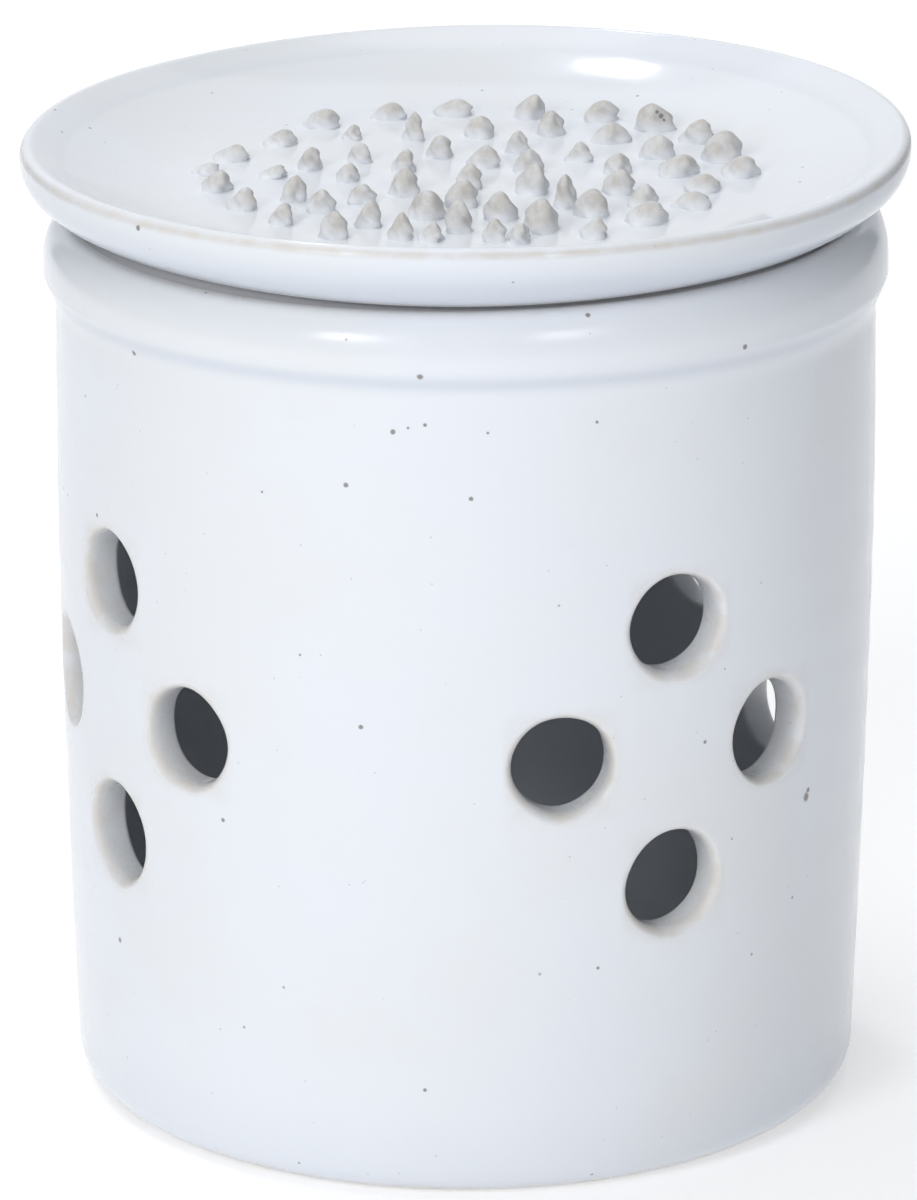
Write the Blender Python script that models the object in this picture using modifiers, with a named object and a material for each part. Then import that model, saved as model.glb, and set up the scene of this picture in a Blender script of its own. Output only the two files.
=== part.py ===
"""A stoneware garlic keeper: a vented crock closed by a dish-shaped lid with grater points.

Lengths are in metres and +Z is up. The origin is the centre of the crock's foot.
The pot and its lid are turned shapes. The vents are cut through the pot's wall
and the grater points are joined to the floor of the lid's dish.
"""

import math
import random

import bmesh
import bpy
from mathutils import Matrix

# Crock
crock_height = 0.1377
neck_radius = 0.0616  # outside of the wall just under the collar
belly_swell = 0.0002  # how far the widest ring of the wall stands out beyond the neck
foot_taper = 0.0018  # how far the wall has drawn in from the neck's radius just above the foot
belly_height = 0.0950
wall_thickness = 0.0056
floor_thickness = 0.0062
foot_round = 0.0056
foot_ring_width = 0.0085
foot_recess = 0.0012  # the underside is hollowed this deep, so the pot stands on a ring
inner_corner_round = 0.0090
mouth_round = 0.0018

# Collar rolled out below the rim
collar_stand = 0.0018  # how far it stands out beyond the neck
shoulder_width = 0.0044
shoulder_drop = 0.0080
collar_low = 0.0098  # below the rim: where the collar starts to turn in
neck_drop = 0.0158  # below the rim: where it has run out into the wall

# Vents, four to a cluster
vent_radius = 0.0075
vent_flare = 0.0011  # how far the glazed edge rounds out beyond the bore
vent_flare_depth = 0.0020
vent_height = 0.0676  # middle of each cluster
vent_rise = 0.0197  # from there to the top and bottom vents
vent_spread = 0.0184  # from there to the side vents, along the wall
vent_overrun = 0.0040

# Grater lid
lid_overhang = 0.0051  # from the crock's neck out to the lid's widest ring
lid_height = 0.0096  # seat to rim
lid_widest_height = 0.0078  # seat to the widest ring, just under the rim
lid_undercut = 0.0057  # from the widest ring in to the edge of the seat
rim_width = 0.0014  # from the widest ring in to the top of the rim
dish_depth = 0.0070
dish_slope_width = 0.0227  # from the widest ring in to the flat floor of the dish
dish_thickness = 0.0056
seat_clearance = 0.0003  # between the lid's seat and the crock's rim
flange_clearance = 0.0012  # between the locating ring and the crock's mouth
flange_depth = 0.0080
flange_width = 0.0062
flange_round = 0.0014
flange_corner_round = 0.0010

# Grater points
point_height = 0.0036
point_radius = 0.0031
point_tip_radius = 0.0012
point_tip_round = 0.0006
point_sink = 0.0010  # how deep a point's root reaches into the dish floor
point_spacing = 0.0102  # between the rings that the points are set on
point_margin = 0.0032  # from the edge of the dish floor in to the outermost ring of points
point_wander = 0.0016  # how far a hand-set point strays from its ring

# Counts and plain numbers
turn_steps = 56
vent_steps = 18
point_sides = 8
small_arc_steps = 2
corner_steps = 3
wide_arc_steps = 5
wall_steps = 8
inner_wall_steps = 5
collar_steps = 5
dish_steps = 6
lid_side_steps = 5
points_per_ring_step = 6  # each ring has this many more points than the one inside it
point_seed = 11
clusters = 4
bow_power = 1.5  # how the wall's curve leaves the belly
lid_side_power = 2  # how the lid's side curves under
merge_distance = 0.00001

# Where each vent of a cluster lies, as shares of the spread and of the rise
vent_place_shares = ((0, 1), (1, 0), (0, -1), (-1, 0))

# Sizes that follow from those above
belly_radius = neck_radius + belly_swell
foot_radius = neck_radius - foot_taper
collar_radius = neck_radius + collar_stand
mouth_radius = neck_radius - wall_thickness
floor_top = foot_recess + floor_thickness
collar_low_height = crock_height - collar_low
neck_height = crock_height - neck_drop
lid_radius = neck_radius + lid_overhang
lid_seat_height = crock_height + seat_clearance
dish_floor = lid_height - dish_depth
dish_underside = dish_floor - dish_thickness
dish_floor_radius = lid_radius - dish_slope_width
flange_radius = mouth_radius - flange_clearance
point_field_radius = dish_floor_radius - point_margin
point_rings = round(point_field_radius / point_spacing)


def clear_scene():
    for obj in list(bpy.data.objects):
        bpy.data.objects.remove(obj)


def new_collection(name, parent):
    collection = bpy.data.collections.new(name)
    parent.children.link(collection)
    return collection


def glaze(name, colour, roughness):
    """A plain glossy ceramic material."""
    material = bpy.data.materials.new(name)
    material.use_nodes = True
    shader = material.node_tree.nodes["Principled BSDF"]
    shader.inputs["Base Color"].default_value = (*colour, 1)
    shader.inputs["Roughness"].default_value = roughness
    shader.inputs["Metallic"].default_value = 0
    return material


def arc(centre, reach, start, end, steps):
    """Points of an elliptical arc from start to end in degrees, both ends included."""
    turns = [math.radians(start + (end - start) * i / steps) for i in range(steps + 1)]
    return [(centre[0] + reach[0] * math.cos(a), centre[1] + reach[1] * math.sin(a)) for a in turns]


def eased(start, end, steps):
    """Points of an S-curve between two rings, without its first: heights are even and radii ease."""
    points = []
    for i in range(1, steps + 1):
        share = i / steps
        blend = (1 - math.cos(math.pi * share)) / 2
        points.append((start[0] + (end[0] - start[0]) * blend, start[1] + (end[1] - start[1]) * share))
    return points


def wall_radius(height):
    """Outside of the crock's wall: it swells from the foot to the belly and draws in to the neck."""
    if height >= neck_height:
        return neck_radius
    if height < belly_height:
        end_height, end_radius = foot_round, foot_radius
    else:
        end_height, end_radius = neck_height, neck_radius
    share = (height - belly_height) / (end_height - belly_height)
    return belly_radius - (belly_radius - end_radius) * share**bow_power


def heights_between(low, high, steps):
    return [low + (high - low) * i / steps for i in range(1, steps)]


def crock_inside():
    """From the middle of the floor up the inner wall to the rim."""
    corner_height = floor_top + inner_corner_round
    corner_radius = wall_radius(corner_height) - wall_thickness
    corner_centre = (corner_radius - inner_corner_round, corner_height)
    mouth_centre = (mouth_radius + mouth_round, crock_height - mouth_round)
    points = [(0, floor_top)]
    points += arc(corner_centre, (inner_corner_round, inner_corner_round), -90, 0, corner_steps)
    between = heights_between(corner_height, neck_height, inner_wall_steps)
    points += [(wall_radius(h) - wall_thickness, h) for h in between]
    points.append((mouth_radius, neck_height))
    points += arc(mouth_centre, (mouth_round, mouth_round), 180, 90, corner_steps)
    return points


def crock_collar():
    """From the rim over the rolled collar and in to the neck."""
    shoulder_centre = (collar_radius - shoulder_width, crock_height - shoulder_drop)
    points = arc(shoulder_centre, (shoulder_width, shoulder_drop), 90, 0, wide_arc_steps)
    points.append((collar_radius, collar_low_height))
    points += eased((collar_radius, collar_low_height), (neck_radius, neck_height), collar_steps)
    return points


def crock_wall_and_foot():
    """From the neck down the bowed wall, round the foot and across the hollowed underside."""
    foot_centre = (foot_radius - foot_round, foot_round)
    ring_inside = foot_radius - foot_round - foot_ring_width
    between = heights_between(foot_round, neck_height, wall_steps)
    points = [(wall_radius(h), h) for h in reversed(between)]
    points += arc(foot_centre, (foot_round, foot_round), 0, -90, corner_steps)
    points += [(ring_inside, 0), (ring_inside - foot_recess, foot_recess), (0, foot_recess)]
    return points


def lid_dish():
    """From the middle of the dish, up its quarter-wave slope and over the rounded rim."""
    rim_centre = (lid_radius - rim_width, lid_widest_height)
    rim = arc(rim_centre, (rim_width, lid_height - lid_widest_height), 150, 0, wide_arc_steps)
    run = rim[0][0] - dish_floor_radius
    rise = rim[0][1] - dish_floor
    points = [(0, dish_floor)]
    for i in range(dish_steps):
        share = i / dish_steps
        slope = 1 - math.cos(share * math.pi / 2)
        points.append((dish_floor_radius + run * share, dish_floor + rise * slope))
    return points + rim


def lid_side_and_seat():
    """From the widest ring, curving under to the seat and in along it to the locating ring."""
    points = []
    for i in range(1, lid_side_steps + 1):
        share = i / lid_side_steps
        inward = lid_undercut * share**lid_side_power
        points.append((lid_radius - inward, lid_widest_height * (1 - share)))
    corner_centre = (flange_radius + flange_corner_round, -flange_corner_round)
    points += arc(corner_centre, (flange_corner_round, flange_corner_round), 90, 180, small_arc_steps)
    return points


def lid_flange():
    """Round the locating ring and in under the dish to the axis."""
    inside = flange_radius - flange_width
    low = flange_round - flange_depth
    corner_centre = (inside - flange_corner_round, dish_underside - flange_corner_round)
    points = arc((flange_radius - flange_round, low), (flange_round, flange_round), 0, -90, small_arc_steps)
    points += arc((inside + flange_round, low), (flange_round, flange_round), -90, -180, small_arc_steps)
    points += arc(corner_centre, (flange_corner_round, flange_corner_round), 0, 90, small_arc_steps)
    points.append((0, dish_underside))
    return points


def turned(name, profile, steps, collection):
    """An object made by turning a profile of (radius, height) points about its own Z axis."""
    mesh = bpy.data.meshes.new(name)
    edges = [(i, i + 1) for i in range(len(profile) - 1)]
    mesh.from_pydata([(radius, 0, height) for radius, height in profile], edges, [])
    obj = bpy.data.objects.new(name, mesh)
    collection.objects.link(obj)
    screw = obj.modifiers.new("turn", "SCREW")
    screw.steps = steps
    screw.render_steps = steps
    screw.use_merge_vertices = True
    screw.merge_threshold = merge_distance
    screw.use_smooth_shade = True
    return obj


def make_tool(obj):
    """Marks an object that only shapes others."""
    obj.hide_render = True
    obj.display_type = "WIRE"


def vent_profile():
    """A bore through the wall, measured from its outer face, whose edges round out as under thick glaze."""
    wide = vent_radius + vent_flare
    points = [(0, vent_overrun), (wide, vent_overrun)]
    points += arc((wide, -vent_flare_depth), (vent_flare, vent_flare_depth), 90, 180, corner_steps)
    points += [(vent_radius, vent_flare - wall_thickness), (wide, -wall_thickness)]
    points += [(wide, -wall_thickness - vent_overrun), (0, -wall_thickness - vent_overrun)]
    return points


def vent_places():
    """The (turn, height) of each vent's axis."""
    spread_turn = vent_spread / belly_radius
    places = []
    for cluster in range(clusters):
        middle = 2 * math.pi * cluster / clusters
        for across, up in vent_place_shares:
            places.append((middle + across * spread_turn, vent_height + up * vent_rise))
    return places


def vent_cutters(collection):
    profile = vent_profile()
    for number, (turn, height) in enumerate(vent_places()):
        cutter = turned(f"vent_cutter_{number + 1}", profile, vent_steps, collection)
        face = wall_radius(height)
        cutter.location = (face * math.cos(turn), face * math.sin(turn), height)
        cutter.rotation_euler = (0, math.pi / 2, turn)
        make_tool(cutter)


def point_places():
    """The (x, y) of each grater point: rings set by eye, so each point strays a little."""
    stray = random.Random(point_seed)
    places = []
    for ring in range(point_rings + 1):
        radius = point_field_radius * ring / point_rings
        count = max(1, points_per_ring_step * ring)
        for i in range(count):
            turn = 2 * math.pi * (i + 0.5 * (ring % 2)) / count
            x = radius * math.cos(turn) + point_wander * stray.uniform(-1, 1)
            y = radius * math.sin(turn) + point_wander * stray.uniform(-1, 1)
            places.append((x, y))
    return places


def grater_points(collection):
    """All the points as one tool: blunt cones with a worn tip, rooted in the dish floor."""
    bm = bmesh.new()
    depth = point_sink + point_height
    middle = dish_floor - point_sink + depth / 2
    for x, y in point_places():
        cone = bmesh.ops.create_cone(
            bm,
            cap_ends=True,
            segments=point_sides,
            radius1=point_radius,
            radius2=point_tip_radius,
            depth=depth,
            matrix=Matrix.Translation((x, y, middle)),
        )
        tip = [v for v in cone["verts"] if v.co.z > middle]
        tip_edges = dict.fromkeys(e for v in tip for e in v.link_edges if e.other_vert(v) in tip)
        bmesh.ops.bevel(bm, geom=list(tip_edges), offset=point_tip_round, segments=1, affect="EDGES")
    mesh = bpy.data.meshes.new("grater_points")
    bm.to_mesh(mesh)
    bm.free()
    tool = bpy.data.objects.new("grater_points", mesh)
    collection.objects.link(tool)
    make_tool(tool)
    return tool


def make_crock(parts, cutters):
    crock = turned("crock", crock_inside() + crock_collar() + crock_wall_and_foot(), turn_steps, parts)
    vent_cutters(cutters)
    vents = crock.modifiers.new("vents", "BOOLEAN")
    vents.operation = "DIFFERENCE"
    vents.operand_type = "COLLECTION"
    vents.collection = cutters
    crock.modifiers.new("even_shading", "WEIGHTED_NORMAL")
    crock.data.materials.append(glaze("crock_glaze", (0.80, 0.81, 0.82), 0.22))
    return crock


def make_lid(parts, tools, crock):
    lid = turned("grater_lid", lid_dish() + lid_side_and_seat() + lid_flange(), turn_steps, parts)
    points = grater_points(tools)
    join = lid.modifiers.new("points", "BOOLEAN")
    join.operation = "UNION"
    join.object = points
    lid.modifiers.new("even_shading", "WEIGHTED_NORMAL")
    lid.data.materials.append(glaze("lid_glaze", (0.80, 0.80, 0.80), 0.24))
    points.parent = lid
    lid.parent = crock
    lid.location = (0, 0, lid_seat_height)


def main():
    clear_scene()
    scene = bpy.context.scene.collection
    parts = new_collection("garlic_keeper", scene)
    cutters = new_collection("vent_cutters", scene)
    tools = new_collection("point_tools", scene)
    crock = make_crock(parts, cutters)
    make_lid(parts, tools, crock)


main()
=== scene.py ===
import math
import random
import bpy
import numpy as np
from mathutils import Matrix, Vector


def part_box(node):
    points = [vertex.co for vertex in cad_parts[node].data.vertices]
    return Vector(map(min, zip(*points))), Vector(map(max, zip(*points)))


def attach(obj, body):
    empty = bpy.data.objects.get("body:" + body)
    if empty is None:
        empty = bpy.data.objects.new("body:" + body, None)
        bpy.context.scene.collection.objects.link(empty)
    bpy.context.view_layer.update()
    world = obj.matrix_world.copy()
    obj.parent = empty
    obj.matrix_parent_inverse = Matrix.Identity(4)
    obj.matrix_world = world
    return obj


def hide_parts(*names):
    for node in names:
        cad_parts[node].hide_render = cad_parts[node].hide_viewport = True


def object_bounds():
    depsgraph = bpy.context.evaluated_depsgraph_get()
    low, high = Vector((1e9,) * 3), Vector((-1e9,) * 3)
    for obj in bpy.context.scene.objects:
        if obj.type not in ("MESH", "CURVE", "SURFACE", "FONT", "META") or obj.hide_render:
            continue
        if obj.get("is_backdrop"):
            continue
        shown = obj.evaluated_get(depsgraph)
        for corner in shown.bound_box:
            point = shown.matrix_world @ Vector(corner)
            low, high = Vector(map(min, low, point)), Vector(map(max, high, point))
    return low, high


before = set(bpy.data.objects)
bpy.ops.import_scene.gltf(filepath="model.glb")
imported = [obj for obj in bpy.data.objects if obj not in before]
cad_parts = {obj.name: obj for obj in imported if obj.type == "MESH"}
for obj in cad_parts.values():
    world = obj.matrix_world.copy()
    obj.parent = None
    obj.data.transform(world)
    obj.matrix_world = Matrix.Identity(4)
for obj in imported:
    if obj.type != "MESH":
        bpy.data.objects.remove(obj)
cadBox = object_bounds()
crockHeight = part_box("crock")[1].z
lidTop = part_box("grater_lid")[1].z
mm = 0.001
print("garlic keeper: frame loaded")

# The photograph's frame and the view it was taken from, about the pot's axis
photo = dict(
    width=917, height=1200,
    turn=-30.5,            # degrees round the pot from its -Y side
    distance=1100 * mm, eyeHeight=430.3 * mm, sideStep=-1.1 * mm,
    tilt=17.94,            # degrees the camera looks down
    focalPixels=7578,
)


# Unit vector from the pot towards a viewer turned so many degrees from the photograph's side
def viewDirection(turn):
    angle = math.radians(photo["turn"] + turn)
    return Vector((math.sin(angle), -math.cos(angle), 0))


def rightOfView():
    toward = viewDirection(0)
    return Vector((-toward.y, toward.x, 0))


def cameraEye():
    level = viewDirection(0) * photo["distance"] + rightOfView() * photo["sideStep"]
    return level + Vector((0, 0, photo["eyeHeight"]))


# Where the photograph's rays through these pixels meet the level z
def onLevel(column, row, z):
    tilt = math.radians(photo["tilt"])
    toward, up = np.array(viewDirection(0)), np.array([0, 0, 1])
    ahead = -toward * math.cos(tilt) - up * math.sin(tilt)
    down = toward * math.sin(tilt) - up * math.cos(tilt)
    ray = (ahead + np.outer((column - photo["width"] / 2) / photo["focalPixels"], rightOfView())
           + np.outer((row - photo["height"] / 2) / photo["focalPixels"], down))
    eye = np.array(cameraEye())
    return eye + ray * ((z - eye[2]) / ray[:, 2])[:, None]


# Shared mesh work

def makeMesh(name, points, quads, triangles, attributes):
    mesh = bpy.data.meshes.new(name)
    mesh.from_pydata(points.tolist(), [], quads.tolist() + triangles.tolist())
    mesh.shade_smooth()
    for label, values in attributes.items():
        layer = mesh.attributes.new(label, "FLOAT", "POINT")
        layer.data.foreach_set("value", np.asarray(values, np.float32))
    obj = bpy.data.objects.new(name, mesh)
    bpy.context.scene.collection.objects.link(obj)
    return obj


# Quads between neighbouring rows and columns of a grid that closes on itself sideways;
# rows run down the outer side, so a quad goes row, next row, next column.
def gridQuads(rowCount, columnCount, first=0):
    row, column = np.meshgrid(np.arange(rowCount - 1), np.arange(columnCount), indexing="ij")
    nextColumn = (column + 1) % columnCount
    corner = lambda r, c: first + r * columnCount + c
    return np.stack([corner(row, column), corner(row + 1, column),
                     corner(row + 1, nextColumn), corner(row, nextColumn)], axis=-1)


# A fan from one pole vertex to a row of the grid
def poleFan(pole, rowStart, columnCount, outward):
    column = np.arange(columnCount)
    here, there = rowStart + column, rowStart + (column + 1) % columnCount
    return np.stack([np.full(columnCount, pole), here, there] if outward
                    else [np.full(columnCount, pole), there, here], axis=-1)


# Points of an elliptical arc: centre plus reach times the cosine and sine of the turn
def arc(centre, reach, start, end, count):
    turn = np.radians(np.linspace(start, end, count))
    return np.stack([centre[0] + reach[0] * np.cos(turn), centre[1] + reach[1] * np.sin(turn)], axis=1)


def straight(start, end, count):
    share = np.linspace(0, 1, count)[:, None]
    return (1 - share) * np.array(start) + share * np.array(end)


# A bell curve: e to the power of minus the square of the distance from the middle over the spread
def bell(value, middle, spread):
    return np.exp(-((value - middle) / spread) ** 2)


# How far a value has gone from its start over a width, held between 0 and 1
def ramp(value, start, width):
    return np.clip((value - start) / width, 0, 1)


# The crock

crockForm = dict(
    footRadius=59.8 * mm, bellyRadius=61.8 * mm, neckRadius=61.6 * mm, bellyHeight=95 * mm,
    bowPower=1.5, wall=5.6 * mm, floor=6.2 * mm,
    footRound=5.6 * mm, ringWidth=8.5 * mm, recess=1.2 * mm,
    cornerRound=9 * mm, poleRadius=1.5 * mm,
    collarRadius=63.4 * mm, shoulderWidth=4.4 * mm, shoulderDrop=8.0 * mm,
    crownStep=1.1 * mm, crownWidth=0.5 * mm, crownRound=1.0 * mm,      # the bead that carries the lid
    collarLow=9.8 * mm, neckDrop=15.8 * mm, neckEase=0.62,
    columns=360,
    outOfRound=0.12 * mm, ripple=0.035 * mm, ripplePitch=9.5 * mm,
    collarDip=0.9 * mm,    # the collar sits lower at the sides of the photographed view than in front
    dipMiddle=12.5 * mm, dipSpread=5.5 * mm,       # below the rim, and how far up and down it fades
    dipStart=58 * mm, dipWidth=2 * mm, dipLevel=0.45,      # the outside alone dips, and the front rises
    seamLean=1.1 * mm, rightLean=0.05 * mm,        # the shoulder rises to the right of that view
    leanStart=57.6 * mm, leanWidth=1.6 * mm, leanDepth=11 * mm,
)

# How thin the crock's glaze is, where its bare seat takes a grey that also paints shade into the gap under
# the lid, and where painted shade darkens the groove under the collar and the base: the middles and spreads
# of its bands
crockCoat = dict(
    foot=0.6 * mm, footSpread=1.0 * mm, footInside=40 * mm,
    rimShare=0.6, rimSpread=1.8 * mm,
    # the bare seat on the crown: its grey also paints shade into the gap under the lid
    seat=2, seatDepth=1.15 * mm, seatEdge=59.3 * mm,
    # painted shade: a bluish grey laid in the groove under the collar and towards the base
    grooveShade=0.75, groove=11.6 * mm, grooveSpread=1.3 * mm, grooveInside=61 * mm,
    baseShade=0.35, baseHeight=14 * mm, baseInside=50 * mm,
)

ventForm = dict(
    height=67.6 * mm, rise=19.7 * mm, spreadColumns=17, clusters=4,
    bore=7.45 * mm, flare=1.25 * mm, flareDepth=2.1 * mm, innerFlare=0.8 * mm,
    blockHalf=9,           # grid cells from a vent's centre to the edge of its block
    riseRows=18,
    outerRings=8, innerRings=4, skinRings=2,
    uneven=0.022, wander=0.35 * mm, seed=5,
)

neckHeight = crockHeight - crockForm["neckDrop"]
rowStep = ventForm["rise"] / ventForm["riseRows"]
bandRows = ventForm["riseRows"] + ventForm["blockHalf"]       # rows each side of the clusters' middle
bandLow = ventForm["height"] - bandRows * rowStep
bandHigh = ventForm["height"] + bandRows * rowStep
faceTurn = math.radians(photo["turn"])


# Wall radius: the belly's radius less a share, to the power of the bow, of what it loses at either end
def wallRadius(z):
    form = crockForm
    below = z < form["bellyHeight"]
    endHeight = np.where(below, form["footRound"], neckHeight)
    endRadius = np.where(below, form["footRadius"], form["neckRadius"])
    share = np.clip((z - form["bellyHeight"]) / (endHeight - form["bellyHeight"]), 0, 1)
    return form["bellyRadius"] - (form["bellyRadius"] - endRadius) * share ** form["bowPower"]


def wallRows(low, high, count, inset):
    z = np.linspace(low, high, count)
    return np.stack([wallRadius(z) - inset, z], axis=1)


# Profile of the whole pot from the middle of its floor, up the inside, over the rim,
# down the outside and in under the foot. The second result gives where the two bands of vents start.
def crockProfile():
    form = crockForm
    wall, floorTop = form["wall"], form["recess"] + form["floor"]
    cornerHeight = floorTop + form["cornerRound"]
    cornerRadius = float(wallRadius(cornerHeight)) - wall - form["cornerRound"]
    mouth = form["neckRadius"] - wall
    crown = (mouth + form["crownRound"], crockHeight - form["crownRound"])
    ledge = (crown[0], crockHeight - form["crownStep"])
    shoulder = (form["collarRadius"] - form["shoulderWidth"], crockHeight - form["shoulderDrop"])
    collarLow = crockHeight - form["collarLow"]
    ease = np.linspace(0, 1, 16)[1:]
    fall = (1 - np.cos(np.pi * ease ** form["neckEase"])) / 2
    run = np.stack([form["collarRadius"] + (form["neckRadius"] - form["collarRadius"]) * fall,
                    collarLow + (neckHeight - collarLow) * ease], axis=1)
    footEdge = form["footRadius"] - form["footRound"]
    ringInside = footEdge - form["ringWidth"]
    bandCount = 2 * bandRows + 1
    parts = [
        straight((form["poleRadius"], floorTop), (cornerRadius, floorTop), 10)[:-1],
        arc((cornerRadius, cornerHeight), (form["cornerRound"],) * 2, -90, 0, 11)[:-1],
        wallRows(cornerHeight, bandLow, 6, wall)[:-1],
        wallRows(bandLow, bandHigh, bandCount, wall),
        wallRows(bandHigh, neckHeight, 7, wall)[1:],
        straight((mouth, neckHeight), (mouth, crown[1]), 5)[1:-1],
        arc(crown, (form["crownRound"],) * 2, 180, 90, 8),
        arc(ledge, (form["crownWidth"], form["crownStep"]), 90, 0, 7)[1:],
        arc(shoulder, (form["shoulderWidth"], form["shoulderDrop"] - form["crownStep"]), 90, 0, 18),
        straight((form["collarRadius"], shoulder[1]), (form["collarRadius"], collarLow), 4)[1:],
        run,
        wallRows(neckHeight, bandHigh, 9, 0)[1:-1],
        wallRows(bandHigh, bandLow, bandCount, 0),
        wallRows(bandLow, form["footRound"], 9, 0)[1:-1],
        arc((footEdge, form["footRound"]), (form["footRound"],) * 2, 0, -90, 11),
        straight((footEdge, 0), (ringInside, 0), 4)[1:],
        straight((ringInside, 0), (ringInside - form["recess"], form["recess"]), 4)[1:],
        straight((ringInside - form["recess"], form["recess"]), (form["poleRadius"], form["recess"]), 8)[1:],
    ]
    counts = [len(part) for part in parts]
    return np.concatenate(parts), sum(counts[:3]), sum(counts[:12])


# The sixteen vents: (column, rows above the middle), four to a cluster
def ventCentres():
    quarter = crockForm["columns"] // ventForm["clusters"]
    diamond = ((0, 1), (1, 0), (0, -1), (-1, 0))
    return [(cluster * quarter + across * ventForm["spreadColumns"], up * ventForm["riseRows"])
            for cluster in range(ventForm["clusters"]) for across, up in diamond]


# Grid cells across and up from a vent's centre to each vertex on the edge of its square block
def blockEdge():
    half = ventForm["blockHalf"]
    eighths = np.array([0, 1, 3, 5, 7, 8]) * half
    step = np.arange(8 * half)
    across = np.interp(step, eighths, np.array([1, 1, -1, -1, 1, 1]) * half)
    up = np.interp(step, eighths, np.array([0, 1, 1, -1, -1, 0]) * half)
    return across, up


# Rings of one vent, each cut a little uneven, from its block's edge on the outer skin, over the
# rounded lip, along the bore and out to its block's edge on the inner skin. On a lip of turn t the
# radius is the bore plus flare times (1 - sin t) and the depth is the flare's depth times (1 - cos t).
def ventRings(column, rowsUp, draw):
    form = ventForm
    across, up = blockEdge()
    count = len(across)
    around = 2 * np.pi * np.arange(count) / count
    blockTurn = np.radians(column + across)
    blockHeight = form["height"] + (rowsUp + up) * rowStep
    centreTurn = math.radians(column) + draw.uniform(-1, 1) * form["wander"] / crockForm["bellyRadius"]
    centreHeight = form["height"] + rowsUp * rowStep + draw.uniform(-1, 1) * form["wander"]
    bore = form["bore"] * (1 + form["uneven"] * (draw.uniform(-0.6, 0.6)
        + draw.uniform(0.3, 0.8) * np.cos(2 * around - draw.uniform(0, 6.28))
        + draw.uniform(0.1, 0.45) * np.cos(3 * around - draw.uniform(0, 6.28))
        + draw.uniform(0.0, 0.3) * np.cos(5 * around - draw.uniform(0, 6.28))))
    flare = form["flare"] * (1 + 0.16 * np.cos(around - draw.uniform(0, 6.28)))
    axis = np.array([math.cos(centreTurn), math.sin(centreTurn), 0])

    def skin(radius, inset, depth):
        z = centreHeight + radius * np.sin(around)
        wall = wallRadius(z) - inset
        turn = centreTurn + np.arcsin(radius * np.cos(around) / wall)
        return turn, z, place(turn, z, wall) - depth * axis

    def place(turn, z, wall):
        return np.stack([wall * np.cos(turn), wall * np.sin(turn), z], axis=1)

    def fromBlock(turn, z, inset, shares):
        rings = []
        for share in shares:
            ringTurn = blockTurn + (turn - blockTurn) * share
            ringHeight = blockHeight + (z - blockHeight) * share
            rings.append(place(ringTurn, ringHeight, wallRadius(ringHeight) - inset))
        return rings

    lipTurn, lipHeight, _ = skin(bore + flare, 0, 0)
    backTurn, backHeight, _ = skin(bore + form["innerFlare"], crockForm["wall"], 0)
    skinShares = np.arange(1, form["skinRings"] + 1) / (form["skinRings"] + 1)
    rings = fromBlock(lipTurn, lipHeight, 0, skinShares)
    thin = [0.10 + 0.35 * share for share in skinShares]
    for i in range(form["outerRings"] + 1):
        t = math.pi / 2 * i / form["outerRings"]
        rings.append(skin(bore + flare * (1 - math.sin(t)), 0, form["flareDepth"] * (1 - math.cos(t)))[2])
        thin.append(0.55 + 0.45 * math.sin(2 * t))
    for i in range(form["innerRings"] + 1):
        t = math.pi / 2 * (1 - i / form["innerRings"])
        radius = bore + form["innerFlare"] * (1 - math.sin(t))
        rings.append(skin(radius, crockForm["wall"], -form["innerFlare"] * (1 - math.cos(t)))[2])
        thin.append(0.5)
    rings += fromBlock(backTurn, backHeight, crockForm["wall"], skinShares[::-1])
    thin += [0.1] * len(skinShares)
    return np.array(rings), np.repeat(np.array(thin)[:, None], count, axis=1)


# How far the seam rises at the right of the photographed view and sinks at its left
def seamLean(turn):
    rightward = np.cos(turn - faceTurn)
    return crockForm["seamLean"] * rightward + crockForm["rightLean"] * np.clip(rightward, 0, 1)


# Hand work on the ideal pot: slightly out of round, faint throwing ripples that climb the wall,
# a collar that dips at the sides of the view and a shoulder that leans with the lid.
# The swell and the ripples fade out at the rim and at the foot.
def handWorked(points, form):
    x, y, z = points.T
    radius = np.hypot(x, y)
    turn = np.arctan2(y, x)
    rise = np.clip(z / crockHeight, 0, 1)
    middle = np.sin(np.pi * rise) ** 0.5
    swell = form["outOfRound"] * middle * (np.cos(2 * turn + 0.7) + 0.5 * np.cos(3 * turn - 1.1 + 4 * rise))
    climb = 2 * np.pi * z / form["ripplePitch"] + turn + 0.9 * np.sin(3 * turn + 40 * z)
    swell += form["ripple"] * middle * np.sin(climb)
    outside = ramp(radius, 0.7 * form["bellyRadius"], 0.2 * form["bellyRadius"])
    newRadius = radius + swell * outside
    collarShare = bell(z, crockHeight - form["dipMiddle"], form["dipSpread"])
    sideways = 1 - np.cos(turn - (faceTurn - np.pi / 2)) ** 2
    dipShare = collarShare * ramp(radius, form["dipStart"], form["dipWidth"])
    dip = form["collarDip"] * dipShare * (sideways - form["dipLevel"])
    shoulderShare = (ramp(radius, form["leanStart"], form["leanWidth"])
                     * ramp(z, crockHeight - form["leanDepth"], form["leanDepth"]))
    newHeight = z - dip + seamLean(turn) * shoulderShare
    return np.stack([newRadius * np.cos(turn), newRadius * np.sin(turn), newHeight], axis=1)


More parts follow.
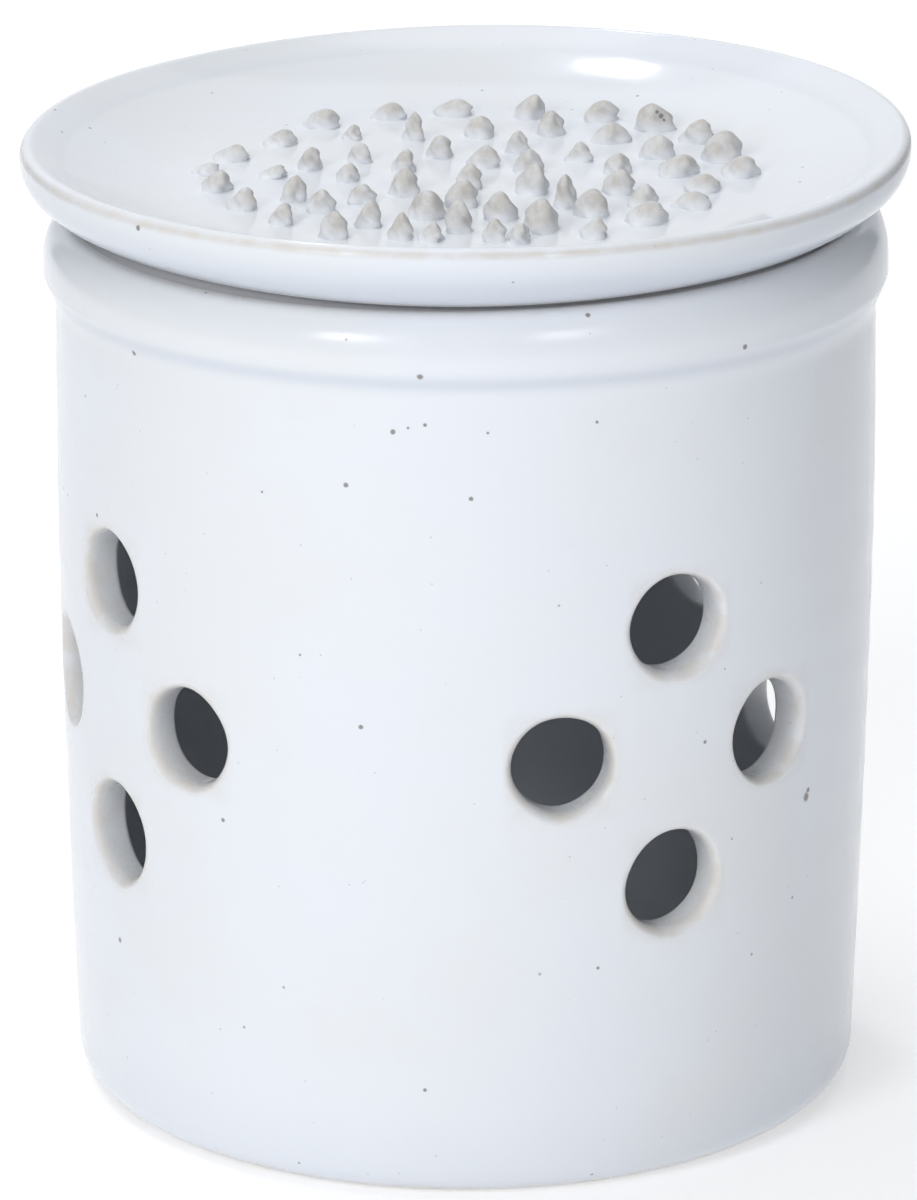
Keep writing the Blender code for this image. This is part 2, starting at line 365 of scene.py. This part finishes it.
# For each row of the profile: how thin the glaze is, over 1.3 on the bare seat, whose grey also paints shade
# into the gap under the lid, and how much painted shade darkens it in the groove under the collar and
# towards the base
def crockCoats(profile):
    coat = crockCoat
    radius, z = profile.T
    thin = bell(z, coat["foot"], coat["footSpread"]) * (radius > coat["footInside"])
    thin += coat["rimShare"] * bell(z, crockHeight, coat["rimSpread"])
    thin += coat["seat"] * ((z > crockHeight - coat["seatDepth"]) & (radius < coat["seatEdge"]))
    # painted shade: darker in the groove under the collar and towards the base
    paintedShade = coat["grooveShade"] * bell(z, crockHeight - coat["groove"], coat["grooveSpread"])
    paintedShade = paintedShade * (radius > coat["grooveInside"])
    low = np.clip(1 - z / coat["baseHeight"], 0, 1)
    paintedShade += coat["baseShade"] * low * (radius > coat["baseInside"])
    return thin, paintedShade


def makeCrock():
    form, columns = crockForm, crockForm["columns"]
    profile, innerBand, outerBand = crockProfile()
    rowCount = len(profile)
    turn = 2 * np.pi * np.arange(columns) / columns
    grid = np.stack([profile[:, 0, None] * np.cos(turn), profile[:, 0, None] * np.sin(turn),
                     np.repeat(profile[:, 1, None], columns, axis=1)], axis=-1)
    points = [grid.reshape(-1, 3)]
    quads = gridQuads(rowCount, columns)
    keep = np.ones(quads.shape[:2], bool)
    thin, paintedShade = crockCoats(profile)
    # the thin glaze and the painted shade are carried on the mesh for the material
    thins, paintedShades = [np.repeat(thin, columns)], [np.repeat(paintedShade, columns)]
    draw = random.Random(ventForm["seed"])
    half = ventForm["blockHalf"]
    across, up = (cells.astype(int) for cells in blockEdge())
    count = len(across)
    made = rowCount * columns
    ringFaces = []
    for column, rowsUp in ventCentres():
        outerRow = outerBand + bandRows - rowsUp
        innerRow = innerBand + bandRows + rowsUp
        blockColumns = (np.arange(-half, half) + column) % columns
        keep[np.ix_(np.arange(outerRow - half, outerRow + half), blockColumns)] = False
        keep[np.ix_(np.arange(innerRow - half, innerRow + half), blockColumns)] = False
        rings, ringThin = ventRings(column, rowsUp, draw)
        first = (outerRow - up) * columns + (column + across) % columns
        last = (innerRow + up) * columns + (column + across) % columns
        middle = made + np.arange(rings.shape[0] * count).reshape(rings.shape[0], count)
        order = np.vstack([first, middle, last])
        following = np.roll(order, -1, axis=1)
        band = np.stack([order[:-1], following[:-1], following[1:], order[1:]], axis=-1)
        ringFaces.append(band.reshape(-1, 4))
        points.append(rings.reshape(-1, 3))
        thins.append(ringThin.reshape(-1))
        paintedShades.append(np.zeros(ringThin.size))
        made += rings.shape[0] * count
    poles = np.array([[0, 0, profile[0, 1]], [0, 0, profile[-1, 1]]])
    points = np.concatenate(points + [poles])
    thins = np.concatenate(thins + [np.zeros(2)])
    paintedShades = np.concatenate(paintedShades + [np.zeros(2)])
    faces = np.concatenate([quads[keep]] + ringFaces)
    fans = np.concatenate([poleFan(made, 0, columns, True),
                           poleFan(made + 1, (rowCount - 1) * columns, columns, False)])
    used = np.unique(np.concatenate([faces.reshape(-1), fans.reshape(-1)]))
    renumber = np.zeros(len(points), int)
    renumber[used] = np.arange(len(used))
    points = handWorked(points[used], form)
    crock = makeMesh("crock_body", points, renumber[faces], renumber[fans],
                     {"thin": thins[used], "paintedShade": paintedShades[used]})
    print("crock:", len(points), "points,", 2 * len(faces) + len(fans), "triangles")
    return crock


crockPiece = makeCrock()


# The lid

lidForm = dict(
    radius=66.7 * mm, widest=7.8 * mm, height=9.6 * mm, baseRadius=60.0 * mm, sidePower=2.4,
    rimWidth=1.4 * mm, rimStart=117,      # degrees round the rim's arc where the dish runs into it
    dishDepth=7.0 * mm, dishFloorRadius=44 * mm, dishThickness=5.6 * mm, dishPower=1.8,
    flangeClearance=1.2 * mm, flangeDepth=8.0 * mm, flangeWidth=6.2 * mm,
    flangeRound=1.4 * mm, flangeCorner=1.0 * mm, poleRadius=1 * mm,
    edgeWidth=2.6 * mm, edgeLift=-0.66 * mm,       # the lower edge hangs towards the shoulder
    leftLift=1.1 * mm, leftLiftTurn=50,            # and stands off it at the left of the photographed view
    farLift=1.7 * mm, leftSink=0.45 * mm,          # the lid lies a little askew, higher at the far right
    slopeStart=48 * mm, slopeWidth=17 * mm,        # where the dish starts to follow that
    outOfRound=0.12 * mm, wavy=0.18 * mm, waveStart=56 * mm, waveWidth=10 * mm,
    columns=300,
)

# How thin the lid's glaze is, with its bare seat, and how much painted shade darkens its side, in
# millimetres of height above the seat and of radius
lidCoat = dict(
    rim=8.8, rimSpread=0.6, rimInside=65.5,
    ringShare=0.5, ring=-8, ringSpread=1.2,
    # the bare seat under the lid: its grey also paints shade into the gap between lid and crock
    seat=2, seatRadius=60.9, seatFade=0.3, seatHeight=0.8, seatInside=55,
    # painted shade: a bluish grey down the lid's side, which faces down
    shadeTop=8.2, shadeDepth=5, shadeMost=0.85, shadeInside=60.5, shadeLow=-0.5,
)

lidSeat = lidTop - lidForm["height"]
dishFloor = lidSeat + lidForm["height"] - lidForm["dishDepth"]


# Profile of the lid from the middle of the dish, up its slope (a power of the share of the way out),
# over the rim, round under the side, along the seat and round the locating ring to the middle of the
# underside. The second result counts the rows on the dish's side of the rim.
def lidProfile():
    form = lidForm
    rimCentre = (form["radius"] - form["rimWidth"], lidSeat + form["widest"])
    rim = arc(rimCentre, (form["rimWidth"], form["height"] - form["widest"]), form["rimStart"], 0, 16)
    slope = np.linspace(0, 1, 26)
    slopePoints = np.stack([form["dishFloorRadius"] + (rim[0, 0] - form["dishFloorRadius"]) * slope,
                            dishFloor + (rim[0, 1] - dishFloor) * slope ** form["dishPower"]], axis=1)
    down = np.linspace(0, 1, 16)[1:]
    side = np.stack([form["radius"] - (form["radius"] - form["baseRadius"]) * down ** form["sidePower"],
                     lidSeat + form["widest"] * (1 - down)], axis=1)
    flange = crockForm["neckRadius"] - crockForm["wall"] - form["flangeClearance"]
    inside = flange - form["flangeWidth"]
    low = lidSeat - form["flangeDepth"] + form["flangeRound"]
    under = dishFloor - form["dishThickness"]
    corner, bead = (form["flangeCorner"],) * 2, (form["flangeRound"],) * 2
    edgeInside = form["baseRadius"] - form["edgeWidth"]
    parts = [
        straight((form["poleRadius"], dishFloor), (form["dishFloorRadius"], dishFloor), 22)[:-1],
        slopePoints[:-1],
        rim,
        side,
        straight((form["baseRadius"], lidSeat), (edgeInside, lidSeat), 5)[1:],
        straight((edgeInside, lidSeat), (flange + form["flangeCorner"], lidSeat), 5)[1:-1],
        arc((flange + form["flangeCorner"], lidSeat - form["flangeCorner"]), corner, 90, 180, 6),
        arc((flange - form["flangeRound"], low), bead, 0, -90, 7),
        arc((inside + form["flangeRound"], low), bead, -90, -180, 7),
        arc((inside - form["flangeCorner"], under - form["flangeCorner"]), corner, 0, 90, 6),
        straight((inside - form["flangeCorner"], under), (form["poleRadius"], under), 8)[1:],
    ]
    return np.concatenate(parts), len(parts[0]) + len(parts[1]) + 1


# Hand work on the ideal lid: it lies askew, its lower edge stands off the crock unevenly, its plan
# is a little out of round and its rim is wavy. The seat's inner part and the locating ring stay true.
def settledLid(radius, z, turn, topRows):
    form = lidForm
    aside = turn - faceTurn
    edge = ramp(radius, form["waveStart"], form["waveWidth"]) ** 2
    top = np.clip((z - lidSeat) / form["height"], 0, 1)
    outer = ramp(radius, form["baseRadius"] - form["edgeWidth"], form["edgeWidth"])
    above = z > lidSeat - 0.1 * mm
    leftward = np.clip(np.cos(aside + np.pi / 2 + math.radians(form["leftLiftTurn"])), 0, 1) ** 5
    lifted = form["edgeLift"] + form["leftLift"] * leftward
    z = z + lifted * outer ** 1.5 * (1 - top) ** 2 * above
    slopeShare = ramp(radius, form["slopeStart"], form["slopeWidth"]) ** 1.5
    onTop = np.arange(len(z))[:, None] < topRows
    rimLift = (form["farLift"] * np.clip(np.cos(aside - np.pi / 4), 0, 1) ** 1.5
               - form["leftSink"] * np.clip(-np.cos(aside), 0, 1))
    sideLift = (seamLean(turn) * (1 - top) + rimLift * top) * outer * above
    z = z + np.where(onTop, rimLift * slopeShare, sideLift)
    lobes = np.cos(2 * turn + 0.4) - 1 + 0.6 * np.cos(5 * turn)
    radius = radius + edge * form["outOfRound"] * lobes
    z = z + edge * top * form["wavy"] * (np.cos(3 * turn + 1.0) - 1)
    return radius, z


# For each row of the profile: how thin the glaze is, over 1.3 on the bare seat, whose grey also paints shade
# into the gap under the lid, and how much painted shade darkens the side, which faces down
def lidCoats(profile):
    coat = lidCoat
    height = (profile[:, 1] - lidSeat) / mm
    r = profile[:, 0] / mm
    thin = bell(height, coat["rim"], coat["rimSpread"]) * (r > coat["rimInside"])
    thin += coat["ringShare"] * bell(height, coat["ring"], coat["ringSpread"])
    seat = np.clip((coat["seatRadius"] - r) / coat["seatFade"], 0, 1)
    thin += coat["seat"] * seat * (np.abs(height) < coat["seatHeight"]) * (r > coat["seatInside"])
    # painted shade: darker down the lid's side from below the rim to the seat
    paintedShade = np.clip((coat["shadeTop"] - height) / coat["shadeDepth"], 0, coat["shadeMost"])
    return thin, paintedShade * (r > coat["shadeInside"]) * (height > coat["shadeLow"])


def makeLid():
    columns = lidForm["columns"]
    profile, topRows = lidProfile()
    turn = 2 * np.pi * np.arange(columns) / columns
    radius = np.repeat(profile[:, 0, None], columns, axis=1)
    z = np.repeat(profile[:, 1, None], columns, axis=1)
    radius, z = settledLid(radius, z, turn, topRows)
    grid = np.stack([radius * np.cos(turn), radius * np.sin(turn), z], axis=-1).reshape(-1, 3)
    # the thin glaze and the painted shade are carried on the mesh for the material
    thin, paintedShade = (np.append(np.repeat(coat, columns), [0, 0]) for coat in lidCoats(profile))
    count = len(grid)
    points = np.concatenate([grid, [[0, 0, profile[0, 1]], [0, 0, profile[-1, 1]]]])
    faces = gridQuads(len(profile), columns).reshape(-1, 4)
    fans = np.concatenate([poleFan(count, 0, columns, True),
                           poleFan(count + 1, count - columns, columns, False)])
    lid = makeMesh("lid_dish", points, faces, fans, {"thin": thin, "paintedShade": paintedShade})
    print("lid:", len(points), "points")
    return lid


lidPiece = makeLid()


# The grater points

pointForm = dict(
    sink=0.5 * mm, slim=1.0, tall=1.1, root=0.3 * mm, rootFade=0.5 * mm, knobbly=0.15 * mm,
    columns=28, rows=18, seed=12,
)

# Where each point shows in the photograph, in pixels: the left edge of its foot, its tip
# and the right edge across, then the rows of its tip and of the front of its foot
pointPixels = (
    (190, 212, 219, 163, 176), (200, 221, 230, 171, 193), (213, 237, 247, 145, 163),
    (262, 285, 296, 130, 148), (305, 326, 338, 110, 130), (342, 354, 362, 125, 141),
    (347, 361, 372, 144, 164), (372, 393, 403, 103, 121), (404, 415, 424, 114, 142),
    (298, 312, 321, 148, 171), (257, 280, 285, 165, 180), (281, 296, 304, 177, 203),
    (228, 246, 255, 189, 212), (269, 285, 293, 204, 226), (305, 323, 334, 190, 214),
    (319, 335, 347, 213, 240), (337, 350, 358, 164, 183), (348, 363, 373, 185, 205),
    (353, 372, 382, 203, 229), (389, 402, 414, 214, 241), (390, 407, 414, 151, 174),
    (388, 406, 418, 170, 197), (434, 459, 470, 99, 118), (463, 481, 496, 117, 139),
    (427, 441, 452, 136, 159), (466, 487, 500, 146, 169), (506, 518, 529, 132, 154),
    (514, 530, 541, 150, 174), (516, 536, 547, 166, 196), (410, 428, 443, 193, 221),
    (443, 464, 479, 181, 209), (455, 471, 482, 165, 190), (445, 459, 472, 202, 234),
    (419, 434, 443, 224, 243), (485, 500, 518, 192, 222), (483, 495, 507, 220, 243),
    (523, 542, 560, 201, 234), (508, 521, 530, 224, 244), (554, 565, 577, 177, 209),
    (512, 536, 543, 96, 120), (534, 552, 565, 112, 137), (567, 581, 591, 143, 163),
    (583, 604, 618, 101, 123), (592, 613, 629, 123, 145), (635, 652, 674, 104, 133),
    (638, 661, 673, 136, 160), (680, 702, 713, 120, 144), (703, 726, 742, 133, 164),
    (722, 744, 758, 157, 179), (657, 684, 696, 155, 178), (685, 704, 723, 174, 194),
    (674, 695, 713, 192, 211), (603, 619, 631, 154, 176), (602, 622, 634, 170, 196),
    (628, 646, 659, 185, 209), (626, 652, 666, 203, 227), (577, 593, 609, 190, 219),
    (580, 598, 608, 219, 240),
)


# Each point's place, radius, height and lean from its pixels: the front of its foot lies where the
# photograph's ray meets the dish floor, and its middle is one radius further back
def pointPlaces():
    left, tip, right, tipRow, footRow = np.array(pointPixels, float).T
    middle = (left + right) / 2
    front = onLevel(middle, footRow, dishFloor)
    perMetre = photo["focalPixels"] / np.linalg.norm(front - cameraEye(), axis=1)
    radius = (right - left) / 2 / perMetre
    tilt = math.radians(photo["tilt"])
    place = front - np.outer(radius, viewDirection(0))
    shown = footRow - tipRow - radius * math.sin(tilt) * perMetre      # pixels, less the foot's own depth
    height = pointForm["tall"] * shown / (perMetre * math.cos(tilt))
    lean = (tip - middle) / perMetre / height
    return place, radius, height, lean


# One point: for a share s of its height the radius is the foot's times (1 - s to the power p) to the
# power q, plus a root of glaze that dies away exponentially up the side. Two, three and five lobes,
# a ripple and the lean that the photograph shows make it hand-formed.
def pinchedPoint(place, foot, height, lean, draw):
    form = pointForm
    s = 1 - (1 - np.linspace(0, 1, form["rows"])) ** 1.5
    turn = 2 * np.pi * np.arange(form["columns"]) / form["columns"]
    side = foot * form["slim"] * (1 - s ** draw.uniform(1.8, 2.8)) ** draw.uniform(0.58, 0.72)
    root = form["root"] * np.exp(-s * height / form["rootFade"])
    lobes = 1 + sum(size * np.cos(count * turn + draw.uniform(0, 6.28))
                    for count, size in ((2, 0.07), (3, 0.06), (5, 0.03)))
    knobbly = sum(form["knobbly"] * np.sin(rings * s[:, None] + count * turn + draw.uniform(0, 6.28))
                  for rings, count in ((7, 2), (5, -3), (12, 4))) * np.sin(np.pi * s ** 0.7)[:, None]
    radius = side[:, None] * lobes + root[:, None] + knobbly
    radius[-1] = 0
    right = np.array(rightOfView())
    sideways = right * lean + np.array(viewDirection(0)) * draw.uniform(-0.15, 0.15)
    z = dishFloor - form["sink"] + (height + form["sink"]) * s
    rise = np.clip(z - dishFloor, 0, None)[:, None]
    px = place[0] + radius * np.cos(turn) + sideways[0] * rise
    py = place[1] + radius * np.sin(turn) + sideways[1] * rise
    pz = np.repeat(z[:, None], form["columns"], axis=1)
    rows = np.stack([px, py, pz], axis=-1)[::-1]      # from the tip down
    return rows[1:].reshape(-1, 3), rows[0, 0], rows[-1].mean(axis=0)


def makePoints():
    form = pointForm
    draw = random.Random(form["seed"])
    columns, rowCount = form["columns"], form["rows"] - 1
    points, quads, fans = [], [], []
    first = 0
    for place, foot, height, lean in zip(*pointPlaces()):
        rows, tip, under = pinchedPoint(place, foot, height, lean, draw)
        count = len(rows)
        points += [rows, [tip], [under]]
        quads.append(gridQuads(rowCount, columns, first).reshape(-1, 4))
        fans.append(poleFan(first + count, first, columns, True))
        fans.append(poleFan(first + count + 1, first + count - columns, columns, False))
        first += count + 2
    piece = makeMesh("grater_points", np.concatenate(points),
                     np.concatenate(quads), np.concatenate(fans), {})
    print("grater points:", len(pointPixels))
    return piece


pointsPiece = makePoints()


# Materials

def nodeBench(name):
    material = bpy.data.materials.new(name)
    material.use_nodes = True
    tree = material.node_tree
    return material, tree.nodes, tree.links, tree.nodes["Principled BSDF"]


def objectNoise(nodes, links, scale, detail=2.0, roughness=0.5):
    place = nodes.new("ShaderNodeTexCoord")
    noise = nodes.new("ShaderNodeTexNoise")
    noise.inputs["Scale"].default_value = scale
    noise.inputs["Detail"].default_value = detail
    noise.inputs["Roughness"].default_value = roughness
    links.new(place.outputs["Object"], noise.inputs["Vector"])
    return noise.outputs["Fac"]


def mapRange(nodes, links, value, low, high, toLow, toHigh):
    node = nodes.new("ShaderNodeMapRange")
    node.interpolation_type = "SMOOTHSTEP"
    for name, number in zip(("From Min", "From Max", "To Min", "To Max"), (low, high, toLow, toHigh)):
        node.inputs[name].default_value = number
    links.new(value, node.inputs["Value"])
    return node.outputs["Result"]


def calculate(nodes, links, operation, first, second):
    node = nodes.new("ShaderNodeMath")
    node.operation = operation
    for socket, value in zip(node.inputs, (first, second)):
        if isinstance(value, (int, float)):
            socket.default_value = value
        else:
            links.new(value, socket)
    return node.outputs["Value"]


def mixColour(nodes, links, share, first, second):
    node = nodes.new("ShaderNodeMix")
    node.data_type = "RGBA"
    links.new(share, node.inputs["Factor"])
    for socket, value in ((node.inputs[6], first), (node.inputs[7], second)):
        if isinstance(value, tuple):
            socket.default_value = (*value, 1)
        else:
            links.new(value, socket)
    return node.outputs[2]


# A bump on the shader from a height, with its strength and depth
def raised(nodes, links, shader, height, strength, depth):
    bump = nodes.new("ShaderNodeBump")
    bump.inputs["Strength"].default_value = strength
    bump.inputs["Distance"].default_value = depth
    links.new(height, bump.inputs["Height"])
    links.new(bump.outputs["Normal"], shader.inputs["Normal"])


# Iron specks under the glaze: round spots where the nearest random point lies under the surface
def specks(nodes, links, perMetre, radius, depth):
    place = nodes.new("ShaderNodeTexCoord")
    cells = nodes.new("ShaderNodeTexVoronoi")
    cells.inputs["Scale"].default_value = perMetre
    links.new(place.outputs["Object"], cells.inputs["Vector"])
    reach = radius * perMetre
    return mapRange(nodes, links, cells.outputs["Distance"], reach * 0.45, reach, depth, 0.0)


# Spots that the photograph shows: column, row and radius in millimetres
crockSpots = (
    (134, 353, 0.5), (420, 377, 0.55), (425, 425, 0.35), (393, 432, 0.45), (408, 428, 0.25),
    (488, 433, 0.25), (597, 422, 0.3), (346, 485, 0.45), (471, 499, 0.4), (361, 727, 0.45), (806, 797, 0.85),
    (808, 790, 0.5), (705, 742, 0.35), (120, 940, 0.5), (425, 1090, 0.35), (745, 347, 0.5), (588, 315, 0.45),
    (97, 515, 0.4), (223, 820, 0.4), (598, 968, 0.3), (262, 492, 0.25), (300, 655, 0.25),
)
lidSpots = ((138, 228, 0.5), (90, 128, 0.3), (62, 132, 0.25), (800, 182, 0.3))
pointSpots = ((661, 116, 0.5), (657, 112, 0.35), (664, 120, 0.3))


# Where the photograph's rays through these pixels first meet a piece, with each spot's radius
def spotPlaces(piece, spots):
    eye = np.array(cameraEye())
    places = []
    for column, row, radius in spots:
        ahead = Vector(onLevel(np.array([column]), np.array([row]), 0.0)[0] - eye)
        hit, place, _, _ = piece.ray_cast(Vector(eye), ahead.normalized())
        if hit:
            places.append((tuple(place), radius * mm))
    return places


# Round spots with a wavering outline: strongest in the middle and gone a little past each radius
def placedSpots(nodes, links, places):
    where = nodes.new("ShaderNodeTexCoord")
    waver = nodes.new("ShaderNodeTexNoise")
    waver.inputs["Scale"].default_value = glazeLook["spotWaver"]
    links.new(where.outputs["Object"], waver.inputs["Vector"])
    nearest = None
    for place, radius in places:
        gap = nodes.new("ShaderNodeVectorMath")
        gap.operation = "DISTANCE"
        gap.inputs[1].default_value = place
        links.new(where.outputs["Object"], gap.inputs[0])
        share = calculate(nodes, links, "DIVIDE", gap.outputs["Value"], radius)
        nearest = share if nearest is None else calculate(nodes, links, "MINIMUM", nearest, share)
    wavering = calculate(nodes, links, "MULTIPLY", waver.outputs["Fac"], 0.5)
    nearest = calculate(nodes, links, "ADD", nearest, wavering)
    return mapRange(nodes, links, nearest, 0.75, 1.35, 0.8, 0)


glazeLook = dict(
    # the third colour is painted shade, a bluish grey for the groove, the base and the lid's side
    white=(0.755, 0.785, 0.835), warmWhite=(0.75, 0.775, 0.805), shadeColour=(0.60, 0.64, 0.71),
    # the bare seat's grey also paints shade into the gap under the lid
    thinClay=(0.56, 0.50, 0.42), seatClay=(0.52, 0.53, 0.56), speck=(0.16, 0.13, 0.11),
    cloudScale=28, breakScale=260, satinScale=90, thinShare=0.5, bareRoughness=0.5,
    largeSpecks=120, largeRadius=0.34 * mm, smallSpecks=260, smallRadius=0.2 * mm,      # cells to a metre
    spotWaver=1800,
    peelScale=130, fineScale=620, fineShare=0.25, peelStrength=0.10, peelDepth=0.5 * mm,
    ior=1.42, crockGloss=0.17, lidGloss=0.11,
)
pointLook = dict(
    clay=(0.52, 0.50, 0.47), low=-0.2 * mm, high=2.2 * mm,      # the glaze thins between these heights
    mottleScale=420, grainScale=900, grainStrength=0.35, grainDepth=0.3 * mm,
)


# White glaze with a cloud of a warmer white, thin bands and painted shade from the mesh, specks and named
# spots
def speckledGlaze(name, gloss, places):
    material, nodes, links, shader = nodeBench(name)
    look = glazeLook
    cloud = mapRange(nodes, links, objectNoise(nodes, links, look["cloudScale"], 3), 0.4, 0.62, 0, 1)
    colour = mixColour(nodes, links, cloud, look["white"], look["warmWhite"])
    thin = nodes.new("ShaderNodeAttribute")
    thin.attribute_name = "thin"
    patches = objectNoise(nodes, links, look["breakScale"], 4, 0.6)
    breakUp = mapRange(nodes, links, patches, 0.32, 0.68, 0.55, 1.2)
    bare = calculate(nodes, links, "MULTIPLY", thin.outputs["Fac"], breakUp)
    bare = mapRange(nodes, links, bare, 0.05, 1.15, 0, look["thinShare"])
    # the bare seat's grey, which also paints shade into the gap under the lid
    seat = mapRange(nodes, links, thin.outputs["Fac"], 1.3, 1.9, 0, 0.9)
    # painted shade: a bluish grey where the mesh marks the groove, the base and the lid's side
    paintedShade = nodes.new("ShaderNodeAttribute")
    paintedShade.attribute_name = "paintedShade"
    colour = mixColour(nodes, links, paintedShade.outputs["Fac"], colour, look["shadeColour"])
    colour = mixColour(nodes, links, bare, colour, look["thinClay"])
    colour = mixColour(nodes, links, seat, colour, look["seatClay"])
    large = specks(nodes, links, look["largeSpecks"], look["largeRadius"], 0.6)
    small = specks(nodes, links, look["smallSpecks"], look["smallRadius"], 0.3)
    spots = calculate(nodes, links, "MAXIMUM", large, small)
    spots = calculate(nodes, links, "MAXIMUM", spots, placedSpots(nodes, links, places))
    colour = mixColour(nodes, links, spots, colour, look["speck"])
    links.new(colour, shader.inputs["Base Color"])
    satin = objectNoise(nodes, links, look["satinScale"], 2)
    satin = mapRange(nodes, links, satin, 0.3, 0.7, gloss * 0.8, gloss * 1.3)
    dulled = calculate(nodes, links, "MULTIPLY", bare, look["bareRoughness"])
    links.new(calculate(nodes, links, "ADD", satin, dulled), shader.inputs["Roughness"])
    fine = calculate(nodes, links, "MULTIPLY", objectNoise(nodes, links, look["fineScale"], 2),
                     look["fineShare"])
    peel = calculate(nodes, links, "ADD", objectNoise(nodes, links, look["peelScale"], 3), fine)
    raised(nodes, links, shader, peel, look["peelStrength"], look["peelDepth"])
    shader.inputs["IOR"].default_value = look["ior"]
    return material


# The grater points' glaze: white round the foot and thin over the clay towards the tip
def pointedClay(places):
    material, nodes, links, shader = nodeBench("thinGlazedPoints")
    look = pointLook
    place = nodes.new("ShaderNodeTexCoord")
    split = nodes.new("ShaderNodeSeparateXYZ")
    links.new(place.outputs["Object"], split.inputs["Vector"])
    above = mapRange(nodes, links, split.outputs["Z"],
                     dishFloor + look["low"], dishFloor + look["high"], 0.15, 1)
    mottle = objectNoise(nodes, links, look["mottleScale"], 4, 0.65)
    mottle = mapRange(nodes, links, mottle, 0.35, 0.65, 0.6, 1.0)
    bare = calculate(nodes, links, "MULTIPLY", above, mottle)
    colour = mixColour(nodes, links, bare, glazeLook["white"], look["clay"])
    colour = mixColour(nodes, links, placedSpots(nodes, links, places), colour, glazeLook["speck"])
    links.new(colour, shader.inputs["Base Color"])
    links.new(mapRange(nodes, links, bare, 0, 0.8, 0.3, 0.6), shader.inputs["Roughness"])
    grain = objectNoise(nodes, links, look["grainScale"], 4, 0.6)
    raised(nodes, links, shader, grain, look["grainStrength"], look["grainDepth"])
    return material


crockGlaze = speckledGlaze("crockGlaze", glazeLook["crockGloss"], spotPlaces(crockPiece, crockSpots))
lidGlaze = speckledGlaze("lidGlaze", glazeLook["lidGloss"], spotPlaces(lidPiece, lidSpots))
crockPiece.data.materials.append(crockGlaze)
lidPiece.data.materials.append(lidGlaze)
pointsPiece.data.materials.append(pointedClay(spotPlaces(pointsPiece, pointSpots)))
print("materials made")

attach(crockPiece, "crock")
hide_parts("crock")
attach(lidPiece, "lid")
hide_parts("grater_lid")
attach(pointsPiece, "lid")
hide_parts("grater_lid")


# Floor, light and camera

studio = dict(
    floorSize=3.0, floorColour=(0.74, 0.74, 0.745), floorGlow=0.37, floorRoughness=0.9,
    skyColour=(0.80, 0.88, 1.0), skyStrength=0.12,
    lights=(
        # name, watts, size, degrees right of the photograph's side, degrees up, distance, shows in the gloss
        ("keySoftbox", 9.4, 1.1, -20, 30, 1.5, False),
        ("overheadSoftbox", 4.4, 1.0, 0, 89.5, 1.4, True),
        ("leftSoftbox", 2.2, 0.5, -105, 62, 1.4, False),
        ("farSoftbox", 3.8, 0.7, -145, 58, 1.4, False),
        ("dishWindow", 0.9, 0.09, -158, 60, 1.3, True),
        ("leftWindow", 2.6, 0.3, -33, 28, 1.3, True),
        ("rightWindow", 1.9, 0.3, 27, 29, 1.3, True),
        ("lowBackdrop", 6.0, 1.6, 180, 20, 1.3, True),
    ),
)


def makeStudio():
    size = studio["floorSize"] / 2
    corners = [(-size, -size, 0), (size, -size, 0), (size, size, 0), (-size, size, 0)]
    floorMesh = bpy.data.meshes.new("studio_floor")
    floorMesh.from_pydata(corners, [], [(0, 1, 2, 3)])
    floor = bpy.data.objects.new("studio_floor", floorMesh)
    bpy.context.scene.collection.objects.link(floor)
    material, nodes, links, shader = nodeBench("paleFloor")
    shader.inputs["Base Color"].default_value = (*studio["floorColour"], 1)
    shader.inputs["Roughness"].default_value = studio["floorRoughness"]
    shader.inputs["Emission Color"].default_value = (1, 1, 1, 1)
    shader.inputs["Emission Strength"].default_value = studio["floorGlow"]
    floorMesh.materials.append(material)
    floor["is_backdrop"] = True
    world = bpy.data.worlds.new("studioSky")
    world.use_nodes = True
    sky = world.node_tree.nodes["Background"]
    sky.inputs["Color"].default_value = (*studio["skyColour"], 1)
    sky.inputs["Strength"].default_value = studio["skyStrength"]
    bpy.context.scene.world = world
    target = Vector((0, 0, crockHeight / 2))
    for name, watts, width, turn, rise, distance, glossy in studio["lights"]:
        light = bpy.data.lights.new(name, "AREA")
        light.energy = watts
        light.size = width
        lamp = bpy.data.objects.new(name, light)
        lamp.visible_glossy = glossy
        level = math.radians(rise)
        towards = viewDirection(turn) * math.cos(level) + Vector((0, 0, math.sin(level)))
        lamp.location = target + distance * towards
        lamp.rotation_euler = (target - lamp.location).to_track_quat("-Z", "Y").to_euler()
        bpy.context.scene.collection.objects.link(lamp)
    print("studio made")


def makeCamera():
    camera = bpy.data.cameras.new("photoCamera")
    camera.sensor_width = 36
    camera.lens = camera.sensor_width * photo["focalPixels"] / photo["height"]
    camera.clip_start, camera.clip_end = 0.05, 20
    eye = bpy.data.objects.new("photoCamera", camera)
    eye.location = cameraEye()
    tilt = math.radians(photo["tilt"])
    look = -viewDirection(0) * math.cos(tilt) - Vector((0, 0, math.sin(tilt)))
    eye.rotation_euler = look.to_track_quat("-Z", "Y").to_euler()
    bpy.context.scene.collection.objects.link(eye)
    bpy.context.scene.camera = eye


makeStudio()
makeCamera()
bpy.context.scene.view_settings.view_transform = "Standard"
print("camera and light set")

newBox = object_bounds()
{"cad": [list(corner) for corner in cadBox], "visual": [list(corner) for corner in newBox]}
